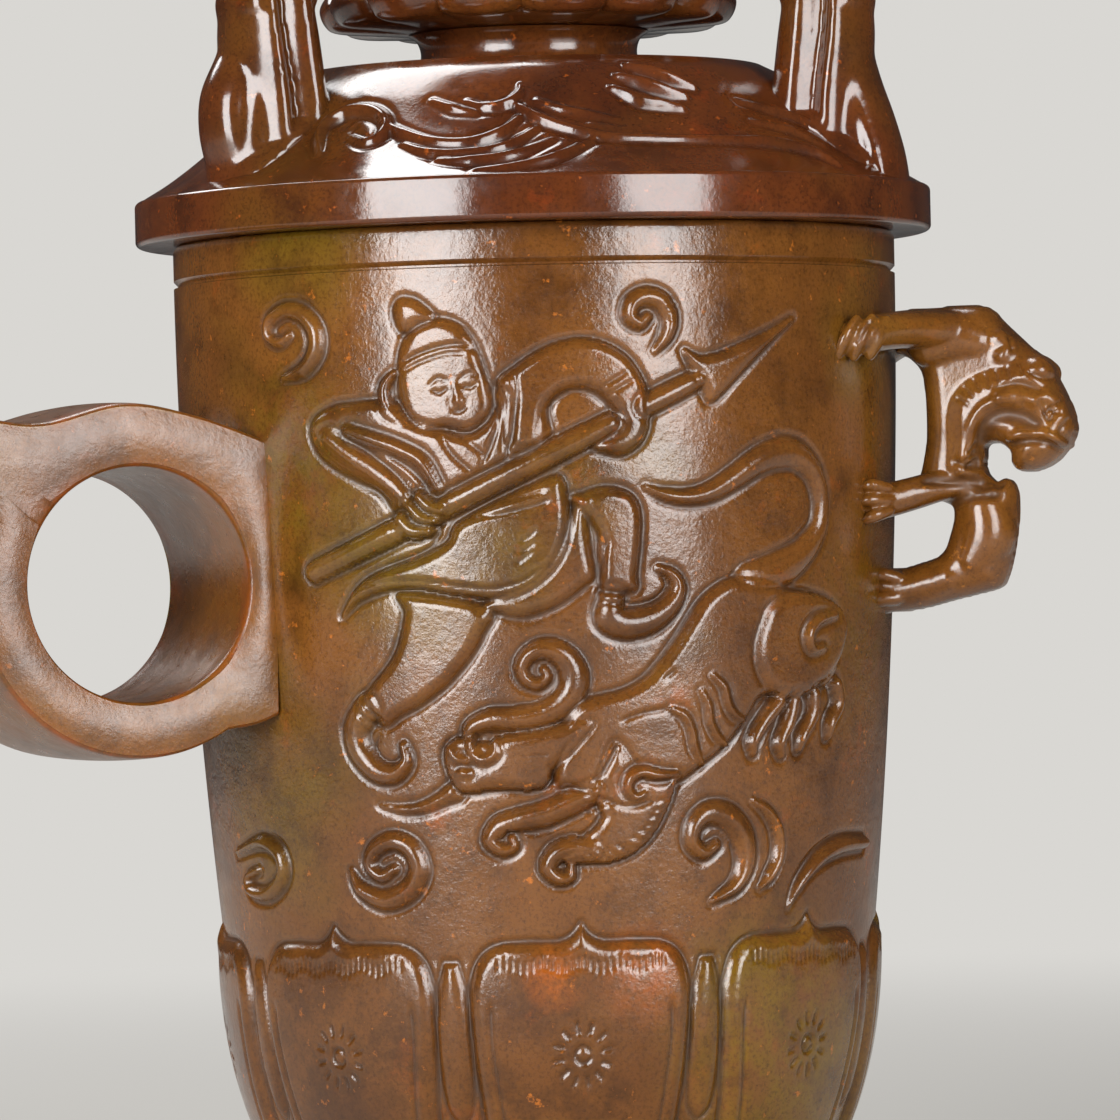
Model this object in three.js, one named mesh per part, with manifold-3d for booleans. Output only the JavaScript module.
// A covered drinking cup in the old Chinese style, carved from two pieces of brown jade.
// The tapering cup has a ring handle with a thumb rest and, round the side from it, a small climbing dragon.
// The cover drops into the mouth on a locating ring. It carries three scroll lugs and a flower knob,
// and it lifts straight off. The members of each stone are separate bodies here, a hairline apart.
// Millimetres and degrees. +Z is up, the origin is the middle of the flat base, and the handle lies along -X.
import * as THREE from 'three';
import { mergeVertices } from 'three/addons/utils/BufferGeometryUtils.js';
import Module from 'manifold-3d';

const wasm = await Module();
wasm.setup();

// Cup
const cupHeight = 95;
const mouthRadius = 34;
const wallThickness = 4.6;
const floorThickness = 8;
const floorCorner = 12;        // height over which the floor of the hollow rounds up into the wall
const footRadius = 21;
const footHeight = 4;
const footChamfer = 0.6;
const lappetTop = 28.5;        // height of the border where the bowl meets the straight side
const lappetRadius = 30.5;
const grooveDrop = 4;          // mouth to the groove that edges the plain band
const grooveWidth = 0.8;
const grooveDepth = 0.3;

// Relief on the cup
const reliefHeight = 0.85;     // wall to the top of an ordinary raised form
const reliefRim = 1.3;         // width over which a form swells from its edge
const reliefRadius = 33;       // radius at which the carving is laid out flat
const frontAngle = -114;       // middle of the carved front, round from +X
const leafCount = 8;           // upright leaves round the bowl
const firstLeaf = 5.4;         // middle of one leaf, round from the front
const curlBreadth = 1.7;       // widest part of a cloud curl
const carvingTolerance = 0.17; // how far the carved outside may move when its flat parts are merged

// Ring handle
const ringHeight = 63.2;       // base to the centre of the finger hole
const ringHoleRadius = 10.7;
const ringWall = 5.1;
const ringThickness = 21.6;
const ringStandoff = 0.4;      // finger hole to the cup's wall
const thumbReach = 22.5;       // centre of the hole to the tip of the thumb rest
const thumbRise = 17.1;
const thumbThickness = 3.6;
const handleRound = 1;

// Climbing dragon
const dragonAngle = -36;       // round from +X
const dragonDrop = 9.8;        // mouth to the shoulder
const dragonReach = 8.6;       // wall to the middle of the shoulder
const dragonLength = 22;       // shoulder to heel, down the wall
const dragonSpread = 10;       // middle line to the near forepaw
const limbRadius = 2;

// Cover
const brimRadius = 37.5;
const brimHeight = 4.2;
const brimRound = 0.5;
const domeRise = 15.8;         // mouth plane to the top of the dome
const domeTopRadius = 22;
const domeThickness = 5.6;
const flangeDepth = 5;         // locating ring, down into the mouth
const flangeWall = 3.6;
const flangeClearance = 0.4;

// Flower knob
const stemRadius = 10.8;
const stemHeight = 3.6;
const stemWaist = 0.5;
const flowerRadius = 19.4;
const flowerRimHeight = 3.6;
const flowerHeight = 12;
const flowerSplay = 0.9;       // rise of the underside from the stem to the rim
const flowerTrough = 0.9;      // rim down to the hollow round the boss
const petalCount = 14;
const petalDepth = 1;

// Scroll lugs on the cover
const lugCount = 3;
const lugAngle = -166.6;       // first lug, round from +X
const lugWidth = 9.2;
const lugInner = 24.6;         // from the axis to the inner face of the upright
const lugOuter = 33.6;
const lugTop = 25.4;           // mouth plane to the top of the scroll
const lugRound = 1.2;

const hairline = 0.3;          // gap between two members of one stone
const roundSteps = 48;

// Outside radius of the cup at a height: a full bowl up to the border, then a side that slowly steepens.
function cupRadius(height) {
  if (height <= footHeight) return footRadius;
  if (height < lappetTop) {
    const rise = (height - footHeight) / (lappetTop - footHeight);
    const fullness = 0.625;
    return footRadius + (lappetRadius - footRadius) * (1 - (1 - rise) ** 2) ** fullness;
  }
  const fall = (cupHeight - height) / (cupHeight - lappetTop);
  return mouthRadius - (mouthRadius - lappetRadius) * fall ** 2;
}

// Radius of the hollow at a height above its floor: the wall's inside, rounded in at the floor.
function hollowRadius(height) {
  const rise = Math.min((height - floorThickness) / floorCorner, 1);
  const squareness = 0.38;
  return (cupRadius(height) - wallThickness) * (1 - (1 - rise) ** 2) ** squareness;
}

const steps = (count, from, to) => Array.from({ length: count + 1 }, (_, i) => from + ((to - from) * i) / count);

// Points of a smooth line through others
const through = (points, perSpan) => new THREE.SplineCurve(points).getPoints((points.length - 1) * perSpan);

// Points of an arc, in degrees round from +X
function arc(centre, radius, from, to, count) {
  return steps(count, from, to).map((angle) => {
    const turn = THREE.MathUtils.degToRad(angle);
    return new THREE.Vector2(centre.x + radius * Math.cos(turn), centre.y + radius * Math.sin(turn));
  });
}

// A closed solid turned about the vertical axis from (radius, height) pairs that start and end on it
function turned(profile, segments = roundSteps) {
  const points = profile.map(([radius, height]) => new THREE.Vector2(radius, height));
  return new THREE.LatheGeometry(points, segments).rotateX(Math.PI / 2);
}

// A flat outline in the X-Z plane, made solid to both sides of that plane with rounded edges
function slab(outline, thickness, round) {
  const geometry = new THREE.ExtrudeGeometry(outline, {
    depth: thickness - 2 * round,
    bevelThickness: round,
    bevelSize: round,
    bevelOffset: -round,
    bevelSegments: 2,
  });
  return geometry.translate(0, 0, round - thickness / 2).rotateX(Math.PI / 2);
}

// A rounded limb along a smooth path. Each station is { point, breadth, depth }, with half sizes.
function limb(stations, grow = 0) {
  const sides = 12;
  const stepsPerSpan = 4;
  const path = new THREE.CatmullRomCurve3(stations.map(({ point }) => point));
  const sizes = new THREE.CatmullRomCurve3(
    stations.map(({ breadth, depth }) => new THREE.Vector3(breadth + grow, depth + grow, 0)),
  );
  const positions = [];
  const addRing = (t, standOut, size) => {
    const tangent = path.getTangent(t);
    const half = sizes.getPoint(t);
    const centre = path.getPoint(t).addScaledVector(tangent, standOut * half.y);
    const side = new THREE.Vector3(0, 1, 0).addScaledVector(tangent, -tangent.y).normalize();
    const up = new THREE.Vector3().crossVectors(tangent, side);
    for (let i = 0; i < sides; i += 1) {
      const turn = (2 * Math.PI * i) / sides;
      const point = centre.clone().addScaledVector(side, half.x * size * Math.cos(turn));
      positions.push(...point.addScaledVector(up, half.y * size * Math.sin(turn)).toArray());
    }
  };
  const ends = [[0.5, 0.78], [0.76, 0.3]];        // two rings that close each end, as (stand-out, size)
  [...ends].reverse().forEach(([standOut, size]) => addRing(0, -standOut, size));
  steps((stations.length - 1) * stepsPerSpan, 0, 1).forEach((t) => addRing(t, 0, 1));
  ends.forEach(([standOut, size]) => addRing(1, standOut, size));

  const indices = [];
  const lastRing = positions.length / 3 - sides;
  for (let ring = 0; ring < lastRing; ring += sides) {
    for (let i = 0; i < sides; i += 1) {
      const a = ring + i;
      const b = ring + ((i + 1) % sides);
      indices.push(a, b, b + sides, a, b + sides, a + sides);
    }
  }
  for (let i = 1; i < sides - 1; i += 1) {
    indices.push(0, i + 1, i, lastRing, lastRing + i, lastRing + i + 1);
  }
  const geometry = new THREE.BufferGeometry();
  geometry.setAttribute('position', new THREE.Float32BufferAttribute(positions, 3));
  geometry.setIndex(indices);
  return geometry;
}

function solidOf(geometry) {
  const loose = geometry.index ? geometry.toNonIndexed() : geometry;
  const bare = new THREE.BufferGeometry().setAttribute('position', loose.getAttribute('position'));
  const merged = mergeVertices(bare, 1e-4);
  const vertProperties = merged.attributes.position.array;
  const triVerts = new Uint32Array(merged.index.array);
  return new wasm.Manifold(new wasm.Mesh({ numProp: 3, vertProperties, triVerts }));
}

function geometryOf(solid) {
  const { vertProperties, triVerts, numProp } = solid.getMesh();
  const count = vertProperties.length / numProp;
  const positions = new Float32Array(count * 3);
  for (let i = 0; i < count; i += 1) {
    positions.set(vertProperties.subarray(i * numProp, i * numProp + 3), i * 3);
  }
  const geometry = new THREE.BufferGeometry();
  geometry.setAttribute('position', new THREE.BufferAttribute(positions, 3));
  geometry.setIndex(new THREE.BufferAttribute(new Uint32Array(triVerts), 1));
  geometry.computeVertexNormals();
  return geometry;
}

// The main body that is left of a geometry once its neighbours are cut from it
function cutBy(geometry, ...neighbours) {
  const left = neighbours.reduce((solid, neighbour) => solid.subtract(solidOf(neighbour)), solidOf(geometry));
  const bodies = left.decompose().sort((a, b) => b.volume() - a.volume());
  return geometryOf(bodies[0]);
}

// Materials, as the photograph shows the stone: tawny on the cup, redder on the cover
const cupStone = new THREE.MeshStandardMaterial({ color: 0x7a4f28, roughness: 0.28, metalness: 0 });
const handleStone = new THREE.MeshStandardMaterial({ color: 0x84603f, roughness: 0.34, metalness: 0 });
const dragonStone = new THREE.MeshStandardMaterial({ color: 0x8a5a2a, roughness: 0.26, metalness: 0 });
const coverStone = new THREE.MeshStandardMaterial({ color: 0x64341e, roughness: 0.22, metalness: 0 });

const coveredCup = new THREE.Group();
const vessel = new THREE.Group();
const cover = new THREE.Group();
coveredCup.add(vessel, cover);

function addPiece(group, name, geometry, material) {
  const piece = new THREE.Mesh(geometry, material);
  piece.name = name;
  group.add(piece);
  return piece;
}

// The carving on the front of the cup, seen flat. Each row is how far the form is raised, as a share of the
// relief's height, then its points: degrees to the right of its middle and height in hundredths of the cup.
// Points with a third number are a ridge along a line, with half its breadth in mm. Others are an outline.
// The hunter with a spear
const huntsman = [
  [0.65, [[-21.5, 86.1], [-20.9, 88.2], [-19.1, 90.1], [-16.3, 90.9], [-13.3, 90.8], [-11.2, 90.1],
    [-9.3, 88.7], [-6.7, 83.3], [-7.2, 81.5], [-8.8, 80.6], [-17.6, 80.2], [-20.6, 82.3]]],
  [0.59, [[-20.3, 89.7], [-21.4, 90.6], [-21.8, 92.2], [-20.8, 93], [-18.7, 92.8], [-15.6, 91.1]]],
  [0.82, [[-22.7, 83.2], [-30.4, 83.3], [-34.2, 82.8], [-37.1, 81.6], [-37, 79.6], [-34.1, 77.6],
    [-24.9, 74.6], [-21.4, 72], [-18.4, 72.1], [-15.8, 73], [-10.2, 75.4], [1.2, 78.5], [2.2, 80.3],
    [1.5, 84.2], [-0.1, 85.1], [-5.5, 84.6], [-7, 81.6], [-11, 79.9], [-18.8, 81.3]]],
  [1.12, [[-5.9, 84.8], [-1, 87.2], [3.8, 88.5], [8.8, 88.6], [12.6, 87.6], [14.9, 86.4], [17, 84],
    [17.1, 80.1], [15.9, 78.7], [13.1, 77.7], [8.9, 78.2], [8.4, 78.6], [9.2, 79], [11.6, 80.4],
    [11.6, 82], [9.3, 83.6], [6.1, 84.1], [3.6, 83.6], [1.8, 82.5], [0.7, 78.7], [-1.7, 78.2],
    [-3.9, 78.4], [-4.5, 83.1]]],
  [1.0, [[4.8, 73.5], [5.8, 74.1], [10, 74.7], [14.4, 74], [15.8, 72.4], [15.7, 69.1], [15.2, 64.9],
    [12.3, 64.3], [9.7, 64.6], [8.8, 70.6]]],
  [0.94, [[-22, 65.2], [-23, 64.8], [-21.8, 63.3], [-23.5, 59.8], [-30.3, 55.2], [-29, 53.9],
    [-26.2, 52.5], [-15, 56.4], [-10.9, 59.2], [-7.4, 62.8], [-8.1, 63.7], [-9.7, 64]]],
  [0.65, [[-8.9, 64], [-8.5, 63.2], [-1.8, 62.6], [2.3, 63.5], [7.7, 65.7], [8.6, 66.7], [6.5, 73.7],
    [1.3, 68.6]]],
  [1.12, [[-12.8, 71.5], [-14.3, 69.9], [-16.1, 69.2], [-29.1, 66.1], [-33, 63.1], [-29, 64.6],
    [-24.7, 65.4], [-16.3, 65.2], [-8, 64.4], [-3.5, 64.8], [1.4, 66.7], [3.9, 69.3], [4.6, 72.5],
    [3.4, 75.8], [-3.3, 74.4]]],
  [1.0, [[-29.3, 54.2, 1.4], [-31.8, 51.7, 1.3], [-31.3, 50.2, 1.3], [-29.6, 48.8, 1.1], [-27.4, 48, 1],
    [-24.7, 48, 0.9], [-22.8, 49, 0.6], [-23.2, 50.7, 0.5]]],
  [1.0, [[11.2, 64, 1.2], [11, 62.4, 1.4], [12.5, 61.8, 1.4], [15.4, 61.8, 1.3], [18.9, 62.6, 1.2],
    [21, 63.8, 1], [21.8, 65.1, 0.8], [21, 66.2, 0.5], [18.6, 66.9, 0.5]]],
  [1.29, [[-37.8, 67.3, 1], [-19.1, 71.9, 1.1], [11.3, 80.6, 1]]],
  [0.88, [[16.8, 82.3, 1], [25.7, 84.8, 0.9]]],
  [0.76, [[23.2, 87.5], [25.7, 87], [28.2, 87.1], [43.5, 90.6], [42.7, 90], [27.8, 82.6], [26.8, 83]]],
  [1.41, [[-29.7, 80.6, 0.6], [-18.8, 78, 0.7], [-15.3, 75, 0.5]]],
  [1.24, [[-33.5, 79.9, 1.1], [-23.2, 75.6, 1.1], [-19, 72.7, 0.8]]],
  [1.53, [[-21.4, 72, 0.7], [-19.8, 71, 0.8], [-17.1, 71, 0.5]]],
  [1.82, [[-19.6, 73.3, 0.5], [-16.1, 71.9, 0.5]]],
  [1.82, [[-18.2, 74.2, 0.5], [-14.9, 72.9, 0.5]]],
  [1.0, [[-22.3, 85.9, 0.5], [-23.7, 83.7, 0.6], [-22.9, 82.5, 0.6], [-20.9, 81.5, 0.5]]],
];
// The horned beast
const beast = [
  [0.88, [[16.6, 74.6, 0.5], [21.4, 73.7, 0.6], [26, 73.8, 0.8], [36.4, 76.9, 1.3], [40.9, 77.7, 1.4],
    [44.2, 77.5, 1.4], [47.3, 76.5, 1.2], [50, 73.6, 1.1], [49.5, 70.3, 1.2], [44.6, 67.6, 1.5],
    [35.3, 65, 2.2]]],
  [1.0, [[2.6, 52], [5.7, 54.6], [12.6, 55.4], [16.4, 56.6], [26, 64], [31.2, 65.8], [38.6, 65.2],
    [48.5, 63.6], [54.5, 60.3], [55.6, 59], [55.5, 57.6], [53.8, 55.8], [51.7, 55.1], [46.1, 54.5],
    [36.9, 54.3], [29.2, 49.3], [21.8, 46.4], [15.5, 44.9], [10.5, 45], [2.2, 46.4], [1.5, 48.4]]],
  [1.41, [[36.4, 61.6], [35.3, 59.8], [35.4, 57.8], [36.5, 56.3], [38.6, 55], [43.7, 54.3], [50.2, 55.8],
    [53.5, 57.2], [55.6, 59.1], [56.4, 61.1], [54.8, 62.7], [49.4, 64], [42.6, 64.3], [38.2, 63.3]]],
  [1.18, [[11.4, 50.5], [8.4, 46.8], [9, 43.2], [2.5, 39.6], [3.3, 39.2], [8.7, 39.1], [13.5, 39.7],
    [16.9, 41.2], [19.5, 43.5], [21.7, 46.9], [21.1, 47.3], [18, 47], [16, 47.3]]],
  [1.18, [[-14.9, 51], [-16.2, 49.3], [-15.1, 47.1], [-13.5, 46.1], [-0.9, 46.3], [0.5, 46.9],
    [1.9, 48.5], [7.2, 52], [7, 52.5], [-5.7, 51.4], [-7.9, 50.8]]],
  [1.0, [[-12.3, 50.8, 0.5], [-11.8, 52, 0.8], [-10.3, 52.6, 0.9], [-1.2, 53.1, 1.2], [3.1, 54.3, 1.3],
    [4.7, 55.8, 1.4], [4.5, 57.8, 1.3], [2.9, 59, 1.1], [0.2, 59.5, 1], [-2.2, 58.9, 0.8],
    [-3.3, 57.7, 0.7], [-2.7, 56.7, 0.6], [-1.1, 56.2, 0.6], [0.7, 56.8, 0.5], [0.2, 57.6, 0.5]]],
  [1.0, [[7.9, 45.8, 1], [-0.2, 43.8, 1.2], [-7.1, 42.8, 1.1], [-8.7, 42.1, 0.9], [-9, 41.3, 0.8],
    [-6.5, 40.5, 0.6], [-5.2, 40.9, 0.5], [-5.7, 41.6, 0.5]]],
  [1.24, [[7.4, 40.3, 0.8], [4.1, 40.6, 0.9], [1.3, 40, 0.9], [0.1, 39, 0.8], [1.1, 38, 0.7],
    [3.5, 37.8, 0.6], [3.9, 38.8, 0.5]]],
  [0.59, [[-28.1, 45], [-24.2, 44.2], [-20.1, 44.2], [-13.7, 45.5], [-14.1, 46.4], [-15.6, 46.9],
    [-20.9, 45.1]]],
  [1.0, [[41.1, 53.9, 0.9], [36.3, 50.8, 0.8], [35.8, 49.1, 0.5]]],
  [1.0, [[44.2, 54, 0.9], [41.3, 50, 0.7], [41.8, 48.9, 0.5]]],
  [1.0, [[49, 54.5, 0.9], [48.7, 52.4, 0.9], [45.8, 49.4, 0.5]]],
  [1.0, [[55, 55.4, 0.8], [55.8, 53.5, 0.9], [53.6, 51.7, 0.7], [53.2, 50.4, 0.5]]],
  [2.06, [[52.2, 62.2, 0.5], [47.6, 61.6, 0.6], [45.6, 60.5, 0.7], [46.5, 59, 0.5], [49.2, 59, 0.5]]],
];
// Curled clouds and plumes
const clouds = [
  [0.88, [[18.6, 87.5, 0.5], [20.6, 89.1, 0.7], [20.9, 90.9, 0.8], [19.7, 92.1, 0.9], [17.3, 92.6, 0.9],
    [15.2, 92, 0.8], [14.7, 91, 0.7], [16.1, 90.1, 0.6], [17.4, 90.7, 0.5]]],
  [0.88, [[-42.8, 85.9, 0.5], [-38.4, 86.7, 0.7], [-35.7, 88.7, 0.9], [-36.2, 90.7, 0.9],
    [-38.9, 92.2, 0.8], [-42.5, 92.3, 0.7], [-45.3, 91.3, 0.7], [-45.5, 90.3, 0.6], [-44.6, 89.6, 0.5],
    [-43.1, 89.4, 0.5], [-41.3, 90, 0.5]]],
  [0.88, [[-34.6, 38.7, 0.5], [-32.8, 36.9, 0.7], [-28.4, 35.9, 1], [-23.4, 37, 1.1], [-21.9, 38.3, 1.1],
    [-21.9, 39.7, 1], [-23.2, 40.9, 1], [-26, 41.5, 0.9], [-29, 41, 0.8], [-30.4, 40, 0.8],
    [-30.5, 39, 0.7], [-29.1, 38.3, 0.6], [-26.1, 38.8, 0.5]]],
  [0.88, [[28.6, 35.1, 0.5], [33.6, 36.8, 0.9], [35.1, 39, 1.2], [33.9, 41.5, 1.3], [30, 43.3, 1.2],
    [27, 43.4, 1.1], [24.6, 41.9, 0.9], [24.7, 40.8, 0.8], [25.9, 40, 0.8], [27.1, 39.8, 0.7],
    [29, 40.4, 0.5]]],
  [0.88, [[36.1, 44.6, 0.5], [40, 43.1, 0.6], [42, 40.6, 0.7], [41.5, 38.4, 0.7], [38.4, 36.2, 0.5]]],
  [0.88, [[45.1, 34.2, 0.5], [47.9, 36.6, 0.6], [52.9, 38.7, 0.8], [58.5, 39.7, 0.9], [68.3, 39.9, 0.7]]],
  [0.88, [[-65.5, 40.4, 0.5], [-57.4, 41.4, 0.6], [-53.2, 41.1, 0.7], [-51.2, 40.4, 0.8],
    [-50.3, 39.4, 0.8], [-51.7, 37.6, 0.8], [-56.2, 36.4, 0.7], [-61.1, 36.6, 0.6], [-62.2, 37.2, 0.5],
    [-62.1, 38, 0.5], [-58.1, 38.7, 0.5]]],
];

// Curls on the back, placed as the carving is: centre, size in mm, turns (clockwise if below 0) and start
// in degrees
const backCurls = [
  [[-66, 46], 4.4, 1.4, 20],
  [[-69, 66], 3.8, -1.3, 140],
  [[-50, 88.5], 4.2, 1.4, 200],
  [[-21, 90], 3.4, -1.3, 70],
  [[12, 89.5], 4.2, 1.4, 300],
  [[40, 84], 4.6, -1.5, 10],
  [[68, 89], 3.8, 1.3, 110],
  [[77, 70], 4.4, -1.4, 240],
  [[72, 49], 4.2, 1.4, 35],
  [[52, 38.5], 3.4, -1.3, 230],
  [[-37, 38], 3.4, 1.3, 57],
  [[57, 62], 3.2, 1.2, 170],
];

// A curl as a ridge that winds in from its tail and grows thinner
function curlRow([[across, up], size, turns, start]) {
  const share = steps(10, 0, 1);
  return [0.9, share.map((t) => {
    const turn = THREE.MathUtils.degToRad(start + 360 * turns * t);
    const radius = size * (1 - 0.8 * t ** 0.8);
    const half = (curlBreadth / 2) * (Math.min(t * 5, 1) * (1 - 0.65 * t) + 0.2);
    return [
      across + THREE.MathUtils.radToDeg((radius * Math.cos(turn)) / reliefRadius),
      up + (100 / cupHeight) * radius * Math.sin(turn),
      half,
    ];
  })];
}

// One side of an upright leaf and of the tongue between two leaves: shares of half the space that a leaf
// has, and height in hundredths of the cup
const leafSide = [
  [0, 33.3], [0.05, 32.3], [0.17, 31.6], [0.42, 31.6], [0.65, 31.3], [0.79, 29.8], [0.85, 26.8], [0.84, 22],
  [0.8, 15.8], [0.76, 9.5], [0.74, 2],
];
const tongueSide = [[0, 14.3], [0.09, 15.4], [0.12, 18], [0.12, 23.2], [0.09, 27.4], [0, 29.7]];
const bothSides = (side, rise) => {
  const scaled = side.map(([x, up]) => [(x * 180) / leafCount, up]);
  return [rise, [...scaled, ...scaled.map(([x, up]) => [-x, up]).reverse()]];
};

// Lays rows out flat in mm round a middle angle, mirrored if so wanted, with the box that each one fills
function laidOut(rows, middle, mirror = 1) {
  return rows.map(([rise, points]) => {
    const flat = points.map(([across, up, half = 0]) => [
      mirror * THREE.MathUtils.degToRad(across) * reliefRadius,
      (up / 100) * cupHeight,
      half,
    ]);
    const widest = Math.max(...flat.map(([, , half]) => half));
    const box = [0, 1].map((axis) => {
      const values = flat.map((point) => point[axis]);
      return [Math.min(...values) - widest, Math.max(...values) + widest];
    });
    return { rise, flat, box, middle, ridge: widest > 0 };
  });
}

const carving = [
  ...laidOut([...huntsman, ...beast, ...clouds], frontAngle),
  ...laidOut(beast, frontAngle + 191, -1),
  ...laidOut(backCurls.map(curlRow), frontAngle + 180),
  ...steps(leafCount - 1, 0, leafCount - 1).flatMap((i) => {
    const middle = frontAngle + firstLeaf + (360 / leafCount) * i;
    return [
      ...laidOut([bothSides(leafSide, 0.88)], middle),
      ...laidOut([bothSides(tongueSide, 0.47)], middle + 180 / leafCount),
    ];
  }),
];

// How high one form stands at a place on the flat layout, from 0 to 1: a ridge is round, and an outlined
// form swells from its edge to a flat top.
function formAt({ flat, ridge }, x, y) {
  let best = ridge ? 0 : Infinity;
  let inside = false;
  for (let i = ridge ? 1 : 0; i < flat.length; i += 1) {
    const [x0, y0, half0] = flat[(i || flat.length) - 1];
    const [x1, y1, half1] = flat[i];
    const share = ((x - x0) * (x1 - x0) + (y - y0) * (y1 - y0)) / ((x1 - x0) ** 2 + (y1 - y0) ** 2 || 1);
    const part = THREE.MathUtils.clamp(share, 0, 1);
    const distance = Math.hypot(x - x0 - part * (x1 - x0), y - y0 - part * (y1 - y0));
    if (ridge) {
      best = Math.max(best, 1 - (distance / (half0 + part * (half1 - half0))) ** 2);
    } else {
      best = Math.min(best, distance);
      if (y0 > y !== y1 > y && x < x0 + ((y - y0) * (x1 - x0)) / (y1 - y0)) inside = !inside;
    }
  }
  if (ridge) return best;
  return inside ? 1 - (1 - Math.min(best / reliefRim, 1)) ** 2 : 0;
}

// Relief at an angle round from +X and a height, in mm: the highest of the forms there
function reliefAt(angle, height) {
  return carving.reduce((relief, form) => {
    const across = THREE.MathUtils.euclideanModulo(angle - form.middle + 180, 360) - 180;
    const place = [THREE.MathUtils.degToRad(across) * reliefRadius, height];
    const near = form.box.every(([low, high], axis) => place[axis] > low && place[axis] < high);
    return near ? Math.max(relief, reliefHeight * form.rise * formAt(form, ...place)) : relief;
  }, 0);
}

// Outside of the cup from the foot to the mouth, the groove included, or all of it grown outwards
const grooveHeight = cupHeight - grooveDrop;
function cupOutside(grow = 0, wallRows = 15) {
  const climb = grooveHeight - grooveWidth / 2 - footHeight;
  const wall = steps(wallRows, 0, 1).map((t) => footHeight + climb * t ** 1.3);
  return [
    [footRadius - footChamfer + grow, -grow],
    [footRadius + grow, footChamfer],
    ...[...wall, grooveHeight, grooveHeight + grooveWidth / 2, cupHeight].map((height) => {
      const depth = height === grooveHeight && grow === 0 ? grooveDepth : 0;
      return [cupRadius(height) + grow - depth, height];
    }),
  ];
}

// The outside as a full solid in fine steps, pushed out square to the wall by the relief. It fades at the
// foot. Then its flat parts are merged into few faces.
function carvedOutside() {
  const columns = 30 * leafCount;
  const geometry = turned([[0, 0], ...cupOutside(0, 80), [0, cupHeight]], columns);
  const positions = geometry.getAttribute('position');
  for (let i = 0; i < positions.count; i += 1) {
    const [x, y, z] = [positions.getX(i), positions.getY(i), positions.getZ(i)];
    const radius = Math.hypot(x, y);
    const relief = reliefAt(THREE.MathUtils.radToDeg(Math.atan2(y, x)), z);
    if (z > footHeight && z < grooveHeight && radius > 0 && relief > 0) {
      const slope = (cupRadius(z + 0.05) - cupRadius(z - 0.05)) / 0.1;
      const push = (relief * Math.min((z - footHeight) / 3, 1)) / Math.hypot(1, slope);
      positions.setXYZ(i, (x * (radius + push)) / radius, (y * (radius + push)) / radius, z - push * slope);
    }
  }
  return solidOf(geometry).simplify(carvingTolerance);
}

// Cup: foot, carved bowl and side outside, one smooth hollow inside
function cupBody() {
  const lowSteps = steps(6, 1, 0).map((t) => floorThickness + (lappetTop - floorThickness) * t ** 2);
  const hollow = [cupHeight, (cupHeight + lappetTop) / 2, ...lowSteps.slice(0, -1)];
  const inside = hollow.map((height) => [hollowRadius(height), height]).reverse();
  const above = [[hollowRadius(cupHeight), cupHeight + 1], [0, cupHeight + 1]];
  const space = turned([[0, floorThickness], ...inside, ...above]);
  return geometryOf(carvedOutside().subtract(solidOf(space)));
}
addPiece(vessel, 'cup_body', cupBody(), cupStone);

// The cup's outside as a full solid, a hairline proud, which cuts whatever grows out of the wall
const wallCutter = turned([[0, -hairline], ...cupOutside(hairline), [0, cupHeight]]);

// Ring handle: a thick ring, a root that grows into the wall and a wavy thumb rest along the top
function ringHandle() {
  const holeX = cupRadius(ringHeight) + ringStandoff + ringHoleRadius;
  const ringRadius = ringHoleRadius + ringWall;
  const centre = new THREE.Vector2(-holeX, ringHeight);
  const at = (out, up) => new THREE.Vector2(-(holeX + out), ringHeight + up);
  const wallInside = -(ringHoleRadius + ringStandoff + wallThickness / 2);
  const topAt = (out, dips) => at(out, thumbRise - thumbThickness * dips);
  const backAngle = 150;         // where the thumb rest leaves the ring
  const footAngle = 302;         // where the ring runs into its root
  const holeStart = 15;
  const rest = through([
    topAt(wallInside, 1.22),
    topAt(-ringRadius * 0.37, 0.5),
    topAt(ringRadius * 0.08, 0.17),
    topAt(ringRadius * 0.57, 0.64),
    topAt(ringRadius * 0.92, 0.5),
    topAt(thumbReach, 0),
  ], 3);
  const underRest = through([
    topAt(thumbReach + thumbThickness * 0.33, 0.5),
    topAt(thumbReach - thumbThickness * 0.44, 1.2),
    topAt(ringRadius * 1.02, 1.7),
  ], 3);
  const ring = arc(centre, ringRadius, backAngle, footAngle, 26);
  const root = [at(-ringRadius * 0.71, -ringRadius * 0.82), at(wallInside, -ringRadius * 0.77)];
  const outline = new THREE.Shape([...rest, ...underRest, ...ring, ...root]);
  outline.holes.push(new THREE.Path(arc(centre, ringHoleRadius, holeStart + 350, holeStart, 35)));
  return cutBy(slab(outline, ringThickness, handleRound), wallCutter);
}
addPiece(vessel, 'ring_handle', ringHandle(), handleStone);

// Climbing dragon, in its own frame: X out from the cup's axis, Y to its far side, Z up.
// A place on it is (out, side, down): out from the wall as a share of the reach, sideways as a share
// of the spread, and down from the shoulder as a share of the length.
function dragonPoint(out, side, down) {
  const height = cupHeight - dragonDrop - dragonLength * down;
  return new THREE.Vector3(cupRadius(height) + dragonReach * out, dragonSpread * side, height);
}

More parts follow.
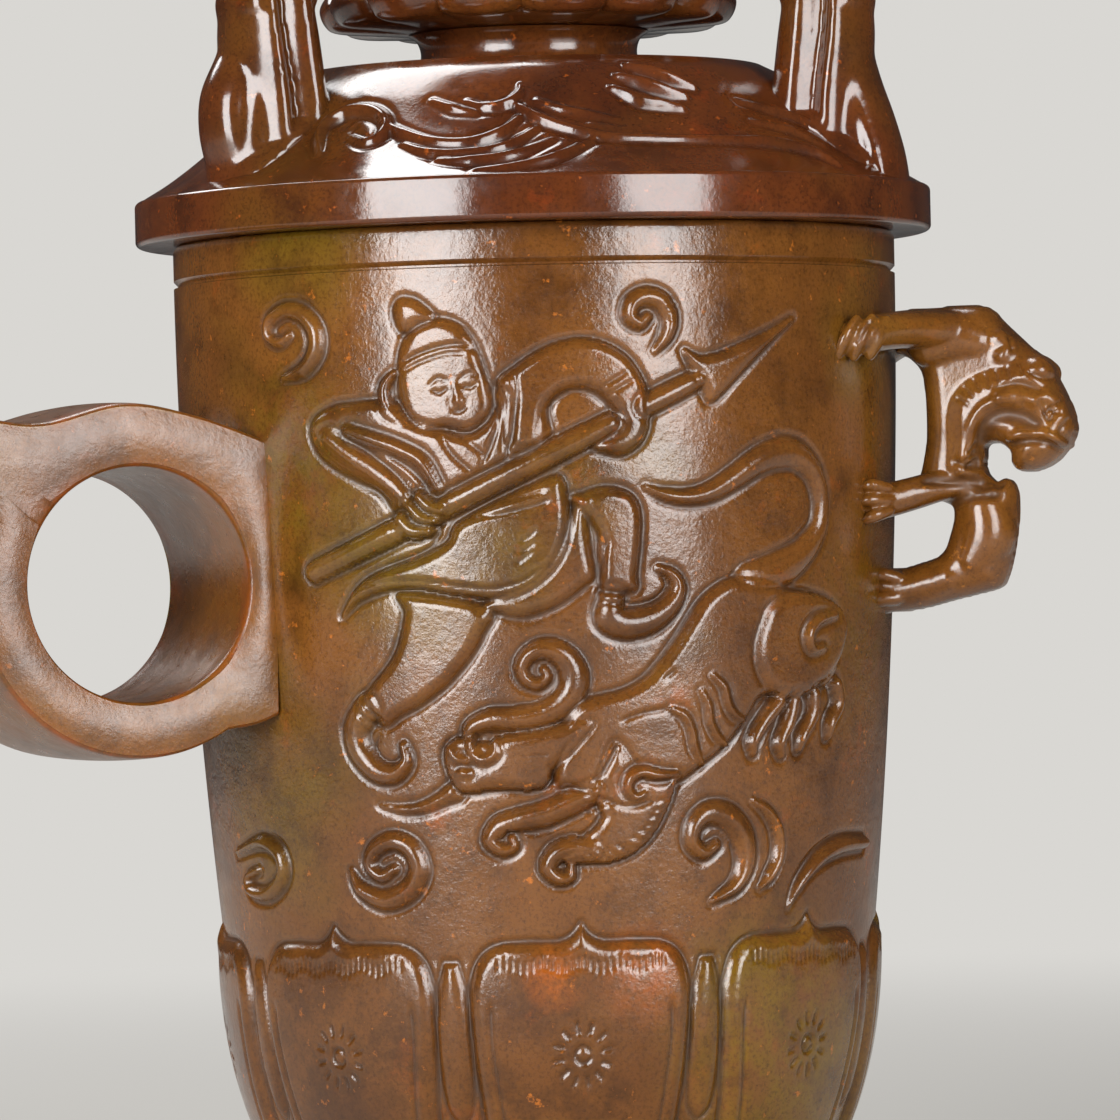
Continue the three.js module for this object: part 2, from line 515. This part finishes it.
// Each row of a limb is a place on the dragon, then half its breadth and half its depth in limb radii
function dragonLimb(rows, grow) {
  const stations = rows.map(([out, side, down, breadth, depth]) => ({
    point: dragonPoint(out, side, down),
    breadth: limbRadius * breadth,
    depth: limbRadius * depth,
  }));
  return limb(stations, grow);
}
const hipShares = [1.08, 0.03, 0.68];
const heelShares = [0.88, 0.03, 1.035];
const head = [
  [0.91, -0.1, 0.035, 2.1, 1.26],
  [1.29, -0.13, 0.124, 2.3, 1.53],
  [1.57, -0.15, 0.271, 2.35, 1.8],
  [1.7, -0.14, 0.45, 2, 1.49],
];
const torso = [
  [0.66, -0.04, 0.031, 1.9, 1.35],
  [0.65, 0, 0.229, 1.75, 1.04],
  [0.73, 0, 0.421, 1.75, 1.26],
  [0.83, 0, 0.566, 1.75, 1.31],
  [...hipShares, 1.7, 1.08],
];
const haunch = [
  [...hipShares, 1.75, 1.22],
  [1.1, 0.03, 0.814, 1.85, 1.62],
  [1.03, 0.03, 0.94, 1.85, 1.62],
  [...heelShares, 1.6, 1.17],
];
const nearForeleg = [
  [-0.31, -1.08, 0.047, 1.3, 0.9],
  [-0.06, -0.96, 0.023, 1.25, 0.9],
  [0.26, -0.56, 0, 1.3, 0.9],
  [0.67, -0.22, 0.008, 1.3, 0.99],
];
const farForeleg = [
  [-0.22, 0.78, 0.06, 1.4, 0.75],
  [0.15, 0.64, 0.03, 1.15, 0.6],
  [0.38, 0.42, 0.01, 1.15, 0.6],
  [0.67, 0.2, 0.005, 1.2, 0.7],
];
const nearHindLeg = [
  [-0.2, -0.57, 0.722, 1.25, 0.9],
  [0.18, -0.46, 0.701, 1.1, 0.81],
  [0.55, -0.28, 0.672, 1.05, 0.77],
  [0.92, -0.12, 0.661, 1.05, 0.77],
];
const lowerHindLeg = [
  [-0.27, 0.12, 1.106, 1.45, 0.95],
  [0.12, 0.06, 1.093, 1.4, 0.95],
  [0.51, 0.03, 1.067, 1.4, 0.99],
  [...heelShares, 1.5, 1.08],
];

// Each member of the dragon is cut back a hairline from the members before it that it meets
const dragon = new THREE.Group();
dragon.rotation.z = THREE.MathUtils.degToRad(dragonAngle);
vessel.add(dragon);
const [headCutter, torsoCutter, haunchCutter] = [head, torso, haunch].map((rows) => dragonLimb(rows, hairline));
const dragonPieces = {
  dragon_head: dragonLimb(head),
  dragon_haunch: cutBy(dragonLimb(haunch), headCutter),
  dragon_torso: cutBy(dragonLimb(torso), headCutter, haunchCutter),
  dragon_near_foreleg: cutBy(dragonLimb(nearForeleg), wallCutter, torsoCutter, headCutter),
  dragon_far_foreleg: cutBy(dragonLimb(farForeleg), wallCutter, torsoCutter, headCutter),
  dragon_near_hind_leg: cutBy(dragonLimb(nearHindLeg), wallCutter, torsoCutter, headCutter, haunchCutter),
  dragon_lower_hind_leg: cutBy(dragonLimb(lowerHindLeg), wallCutter, haunchCutter),
};
Object.entries(dragonPieces).forEach(([name, geometry]) => addPiece(dragon, name, geometry, dragonStone));

// Outside of the cover from under the brim to the top of the dome. The shoulder's points are shares of
// its run and its rise: a shallow start at the brim, then steeper, then rounding over at the top.
function coverOutside() {
  const shoulder = [[0, 0], [0.2, 0.16], [0.44, 0.4], [0.68, 0.7], [0.86, 0.9], [1, 1]];
  const run = brimRadius - brimRound - domeTopRadius;
  const points = through(shoulder.map(([x, y]) => new THREE.Vector2(x, y)), 2);
  return [
    [brimRadius - brimRound, cupHeight],
    [brimRadius, cupHeight + brimRound],
    [brimRadius, cupHeight + brimHeight - brimRound],
    ...points.map(({ x, y }) => [
      brimRadius - brimRound - run * x,
      cupHeight + brimHeight + (domeRise - brimHeight) * y,
    ]),
  ];
}

// Cover: brim, shoulder and flat-topped dome outside, locating ring and hollow underneath
const coverTop = cupHeight + domeRise;
function coverDome() {
  const flangeOuter = hollowRadius(cupHeight) - flangeClearance;
  const flangeInner = flangeOuter - flangeWall;
  const hollow = steps(4, 0, Math.PI / 2).map((turn) => [
    flangeInner * Math.sin(turn) ** 0.8,
    cupHeight + (domeRise - domeThickness) * Math.cos(turn) ** 0.7,
  ]);
  return turned([
    ...hollow,
    [flangeInner, cupHeight - flangeDepth],
    [flangeOuter, cupHeight - flangeDepth],
    [flangeOuter, cupHeight],
    ...coverOutside(),
    [0, coverTop],
  ]);
}
addPiece(cover, 'cover_dome', coverDome(), coverStone);

// Stem of the knob, slightly waisted, flat against the dome and the flower
function knobStem() {
  const waist = stemRadius - stemWaist;
  return turned([
    [0, coverTop],
    [stemRadius, coverTop],
    [waist, coverTop + stemHeight * 0.45],
    [stemRadius, coverTop + stemHeight],
    [0, coverTop + stemHeight],
  ]);
}
addPiece(cover, 'knob_stem', knobStem(), coverStone);

// Flower knob: a wide disc with a petalled edge, hollowed round a ring of sepals and a boss
function knobFlower() {
  const base = coverTop + stemHeight;
  const rim = base + flowerSplay;
  const rimTop = rim + flowerRimHeight;
  const rise = flowerHeight - flowerSplay - flowerRimHeight;
  const geometry = turned([
    [0, base],
    [stemRadius, base],
    [flowerRadius * 0.75, base + flowerSplay * 0.3],
    [flowerRadius * 0.93, rim - flowerSplay * 0.4],
    [flowerRadius * 0.99, rim + flowerRimHeight * 0.1],
    [flowerRadius * 1.015, rim + flowerRimHeight * 0.5],
    [flowerRadius * 0.98, rimTop - flowerRimHeight * 0.14],
    [flowerRadius * 0.93, rimTop],
    [flowerRadius * 0.8, rimTop - flowerTrough * 0.7],
    [flowerRadius * 0.66, rimTop - flowerTrough],
    [flowerRadius * 0.5, rimTop + flowerTrough],
    [flowerRadius * 0.4, rimTop + flowerTrough * 0.5],
    [flowerRadius * 0.34, rimTop + rise * 0.5],
    [flowerRadius * 0.27, rimTop + rise * 0.86],
    [flowerRadius * 0.15, rimTop + rise * 0.97],
    [0, rimTop + rise],
  ], petalCount * 8);
  const positions = geometry.getAttribute('position');
  for (let i = 0; i < positions.count; i += 1) {
    const [x, y, z] = [positions.getX(i), positions.getY(i), positions.getZ(i)];
    const out = Math.hypot(x, y) / flowerRadius;
    const edge = THREE.MathUtils.clamp((out - 0.5) / 0.45, 0, 1) ** 1.5;
    const turn = (petalCount / 2) * Math.atan2(y, x);
    const notch = petalDepth * edge * (1 - Math.abs(Math.cos(turn)) ** 0.65);
    const scale = 1 - notch / flowerRadius;
    const upper = z > rim + flowerRimHeight / 2;
    const sepal = upper ? flowerTrough * 0.8 * Math.exp(-(((out - 0.52) / 0.1) ** 2)) : 0;
    const cupped = (upper ? -0.5 : 0.5) * notch + sepal * Math.abs(Math.sin(turn)) ** 0.7;
    positions.setXYZ(i, x * scale, y * scale, z + cupped);
  }
  return geometry;
}
addPiece(cover, 'knob_flower', knobFlower(), coverStone);

// Scroll lug: an upright that rolls outward at the top, and a tail that runs down to the brim
function scrollLug() {
  const at = (radius, rise) => new THREE.Vector2(radius, cupHeight + rise);
  const tailRadius = brimRadius - brimRound;
  const depth = lugOuter - lugInner;
  const climb = lugTop - brimHeight;
  const buried = brimHeight / 2;
  const scroll = through([
    at(lugInner, domeRise * 0.8),
    at(lugInner + depth * 0.04, lugTop * 0.8),
    at(lugInner + depth * 0.28, lugTop * 0.97),
    at(lugInner + depth * 0.62, lugTop),
    at(lugOuter - depth * 0.06, lugTop * 0.93),
    at(lugOuter, lugTop * 0.82),
    at(lugOuter - depth * 0.14, lugTop * 0.71),
    at(lugOuter + depth * 0.08, lugTop * 0.6),
    at(lugOuter + (tailRadius - lugOuter) * 0.62, brimHeight + climb * 0.26),
    at(tailRadius, brimHeight + climb * 0.05),
  ], 2);
  const outline = new THREE.Shape([at(lugInner, buried), ...scroll, at(tailRadius, buried)]);
  const [outward, upward] = [hairline * 0.6, hairline * 0.8];      // together a hairline off the slope
  const proud = coverOutside().map(([radius, height]) => [radius + outward, height + upward]);
  const domeCutter = turned([[0, cupHeight], ...proud, [0, coverTop + hairline]]);
  return cutBy(slab(outline, lugWidth, lugRound), domeCutter);
}
const lugGeometry = scrollLug();
for (let i = 0; i < lugCount; i += 1) {
  const lug = addPiece(cover, `cover_lug_${i + 1}`, lugGeometry, coverStone);
  lug.rotation.z = THREE.MathUtils.degToRad(lugAngle + (360 / lugCount) * i);
}

export default coveredCup;
